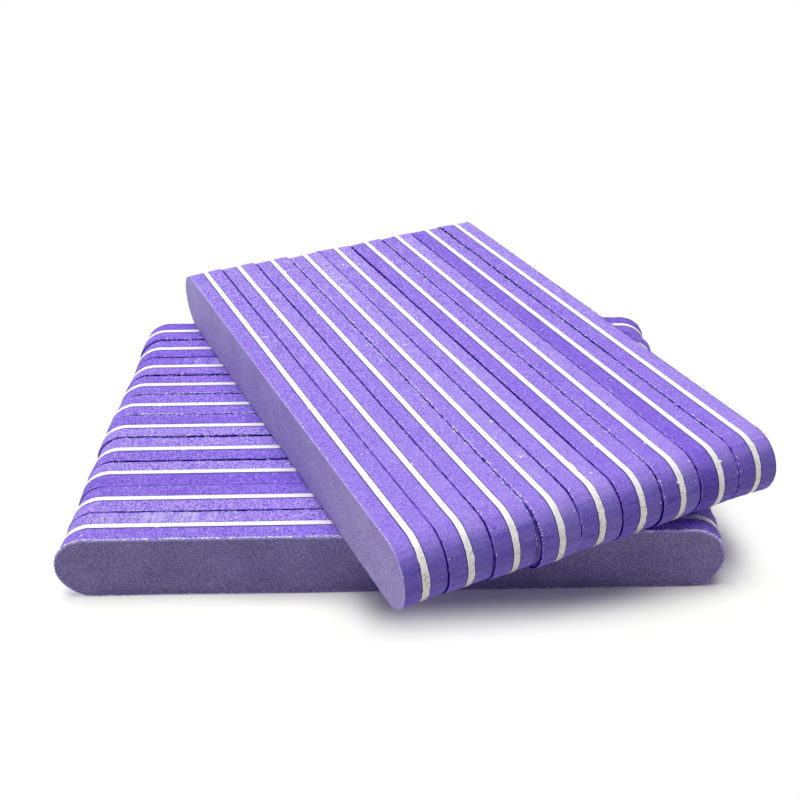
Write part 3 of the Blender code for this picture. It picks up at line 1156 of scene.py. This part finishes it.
# Matt white paper, lit from above: it keeps a soft shadow close to the lower block, deeper under the overhang
# of the upper one, and burns out beyond
paperFloor = {
    "size": 6.0,
    "cells": 8,
    "bounced": "#FAFAFA",
    "seen": (1.24, 1.25, 1.12, 1),  # by the camera alone, lifted so that lit paper shows white
    "burntOut": "#FFFFFF",
    "fadeTo": 0.0195,
    "endGain": 1.15,
    "endBack": 0.002,
    "underReach": 0.030,
    "underShare": 0.14,
    "underSide": 0.004,
    "clearFrom": 0.008,
    "clearTo": 0.040,
    "clearGain": 0.0078,
}


def blockReach(block):
    # the turn of a block, and the middle and half size of the rectangle that it covers in its own frame
    turn, _ = bufferPlace(blockBodies[block][0])
    parts = ("core", *(f"{side}_pad" for side in blocks[block]["sides"]))
    points = np.concatenate([nodePoints(f"{body}_{part}") for body in blockBodies[block] for part in parts])
    reach = points @ np.array(turn)
    low, high = reach.min(0), reach.max(0)
    return turn, (high + low) / 2, (high - low) / 2


def mattWhitePaper():
    material, tree, shader = startMaterial("matt_white_paper")
    tree.nodes.remove(shader)
    place = addNode(tree, "ShaderNodeTexCoord")
    ray = addNode(tree, "ShaderNodeLightPath")
    colour = addNode(tree, "ShaderNodeMix",
                     {shareIn: ray.outputs["Is Camera Ray"], firstIn: linearColour(paperFloor["bounced"]),
                      secondIn: paperFloor["seen"]}, data_type="RGBA")
    diffuse = addNode(tree, "ShaderNodeBsdfDiffuse", {"Color": colour.outputs[colourOut]})
    glow = addNode(tree, "ShaderNodeEmission",
                   {"Color": linearColour(paperFloor["burntOut"]), "Strength": 1.0})

    # how far a floor point lies outside each block, along and through its buffers and straight from it
    outsides = {}
    distances = {}
    for block in blocks:
        turn, middle, half = blockReach(block)
        turned = addNode(tree, "ShaderNodeVectorRotate",
                         {"Vector": place.outputs["Object"], "Angle": -turn.to_euler().z},
                         rotation_type="Z_AXIS")
        shifted = addNode(tree, "ShaderNodeVectorMath",
                          {0: turned.outputs[0], 1: (middle[0], middle[1], 0)}, operation="SUBTRACT")
        folded = addNode(tree, "ShaderNodeVectorMath", {0: shifted.outputs[0]}, operation="ABSOLUTE")
        outside = addNode(tree, "ShaderNodeVectorMath",
                          {0: folded.outputs[0], 1: (half[0], half[1], 0)}, operation="SUBTRACT")
        outsides[block] = addNode(tree, "ShaderNodeSeparateXYZ", {0: outside.outputs[0]})
        for operation, value in (
            ("ADD", (paperFloor["endBack"], 0, 0)),
            ("MAXIMUM", (0, 0, 0)),
            ("MULTIPLY", (paperFloor["endGain"], 1, 0)),
            ("LENGTH", (0, 0, 0)),
        ):
            outside = addNode(tree, "ShaderNodeVectorMath", {0: outside.outputs[0], 1: value},
                              operation=operation)
        distances[block] = outside.outputs["Value"]

    # the light comes in with the distance from the lower block, sooner far from the upper one, later under it
    clear = addNode(tree, "ShaderNodeMapRange",
                    {"Value": distances["upper"], "From Min": paperFloor["clearFrom"],
                     "From Max": paperFloor["clearTo"], "To Max": paperFloor["clearGain"]},
                    interpolation_type="SMOOTHSTEP")
    deepest = paperFloor["underReach"] * paperFloor["underShare"]
    under = addNode(tree, "ShaderNodeMapRange",
                    {"Value": outsides["upper"].outputs["X"], "From Min": -paperFloor["underReach"],
                     "From Max": 0.0, "To Min": deepest, "To Max": 0.0})
    beside = addNode(tree, "ShaderNodeMapRange",
                     {"Value": outsides["upper"].outputs["Y"], "From Max": paperFloor["underSide"],
                      "To Min": 1.0, "To Max": 0.0})
    shaded = addNode(tree, "ShaderNodeMath", {0: under.outputs[0], 1: beside.outputs[0]},
                     operation="MULTIPLY")
    lit = addNode(tree, "ShaderNodeMath", {0: distances["lower"], 1: clear.outputs[0]}, operation="ADD")
    distance = addNode(tree, "ShaderNodeMath", {0: lit.outputs[0], 1: shaded.outputs[0]},
                       operation="SUBTRACT")
    fade = addNode(tree, "ShaderNodeMapRange",
                   {"Value": distance.outputs[0], "From Max": paperFloor["fadeTo"]},
                   interpolation_type="SMOOTHSTEP")
    seen = addNode(tree, "ShaderNodeMath", {0: fade.outputs[0], 1: ray.outputs["Is Camera Ray"]},
                   operation="MULTIPLY")
    mixed = addNode(tree, "ShaderNodeMixShader",
                    {0: seen.outputs[0], 1: diffuse.outputs[0], 2: glow.outputs[0]})
    setInputs(tree, tree.nodes["Material Output"], {"Surface": mixed.outputs[0]})
    return material


def makeFloor():
    work = bmesh.new()
    bmesh.ops.create_grid(work, x_segments=paperFloor["cells"], y_segments=paperFloor["cells"],
                          size=paperFloor["size"] / 2)
    mesh = bpy.data.meshes.new("floor")
    work.to_mesh(mesh)
    work.free()
    mesh.materials.append(mattWhitePaper())
    floor = bpy.data.objects.new("floor", mesh)
    bpy.context.scene.collection.objects.link(floor)


# A plain room: faint even light, seen as white by the camera and in gloss
studio = {"ambient": 0.12, "ambientColour": "#F6F7FF", "white": "#FFFFFF"}


def makeWorld():
    world = bpy.data.worlds.new("studio")
    bpy.context.scene.world = world
    world.use_nodes = True
    tree = world.node_tree
    ray = addNode(tree, "ShaderNodeLightPath")
    seen = ray.outputs["Is Camera Ray"]
    for kind in ("Is Glossy Ray", "Is Transmission Ray"):
        either = addNode(tree, "ShaderNodeMath", {0: seen, 1: ray.outputs[kind]}, operation="MAXIMUM")
        seen = either.outputs[0]
    ambient = addNode(tree, "ShaderNodeBackground",
                      {"Color": linearColour(studio["ambientColour"]), "Strength": studio["ambient"]})
    white = addNode(tree, "ShaderNodeBackground", {"Color": linearColour(studio["white"]), "Strength": 1.0})
    mixed = addNode(tree, "ShaderNodeMixShader", {0: seen, 1: ambient.outputs[0], 2: white.outputs[0]})
    setInputs(tree, tree.nodes["World Output"], {"Surface": mixed.outputs[0]})


# a large softbox overhead, and a smaller one low at the far left, in metres and watts
lamps = {
    "overhead_softbox": {"place": (-0.10, 0.12, 1.20), "size": 0.9, "power": 14.4},
    "left_softbox": {"place": (-0.95, 0.85, 0.52), "size": 0.6, "power": 4.2},
}


def makeLamp(name, settings):
    lamp = bpy.data.lights.new(name, "AREA")
    lamp.shape = "SQUARE"
    lamp.size = settings["size"]
    lamp.energy = settings["power"]
    holder = bpy.data.objects.new(name, lamp)
    bpy.context.scene.collection.objects.link(holder)
    holder.location = settings["place"]
    aim = (cadBox[0] + cadBox[1]) / 2 - holder.location
    holder.rotation_euler = aim.to_track_quat("-Z", "Y").to_euler()


# the photograph's viewpoint, with its lens and sensor in millimetres
view = {
    "place": (-0.0005, -0.2339, 0.1990),
    "yaw": math.radians(0.496),
    "pitch": math.radians(31.338),
    "roll": math.radians(-0.640),
    "lens": 49.68,
    "sensor": 36,
    "clipStart": 0.01,
}


def makeCamera():
    camera = bpy.data.objects.new("camera", bpy.data.cameras.new("camera"))
    bpy.context.scene.collection.objects.link(camera)
    camera.data.lens = view["lens"]
    camera.data.sensor_width = view["sensor"]
    camera.data.clip_start = view["clipStart"]
    camera.matrix_world = (Matrix.Translation(view["place"]) @ Matrix.Rotation(-view["yaw"], 4, "Z")
                           @ Matrix.Rotation(math.pi / 2 - view["pitch"], 4, "X")
                           @ Matrix.Rotation(view["roll"], 4, "Z"))
    bpy.context.scene.camera = camera


makeFloor()
makeWorld()
for name, settings in lamps.items():
    makeLamp(name, settings)
makeCamera()
bpy.context.scene.view_settings.view_transform = "Standard"
print("stage set")
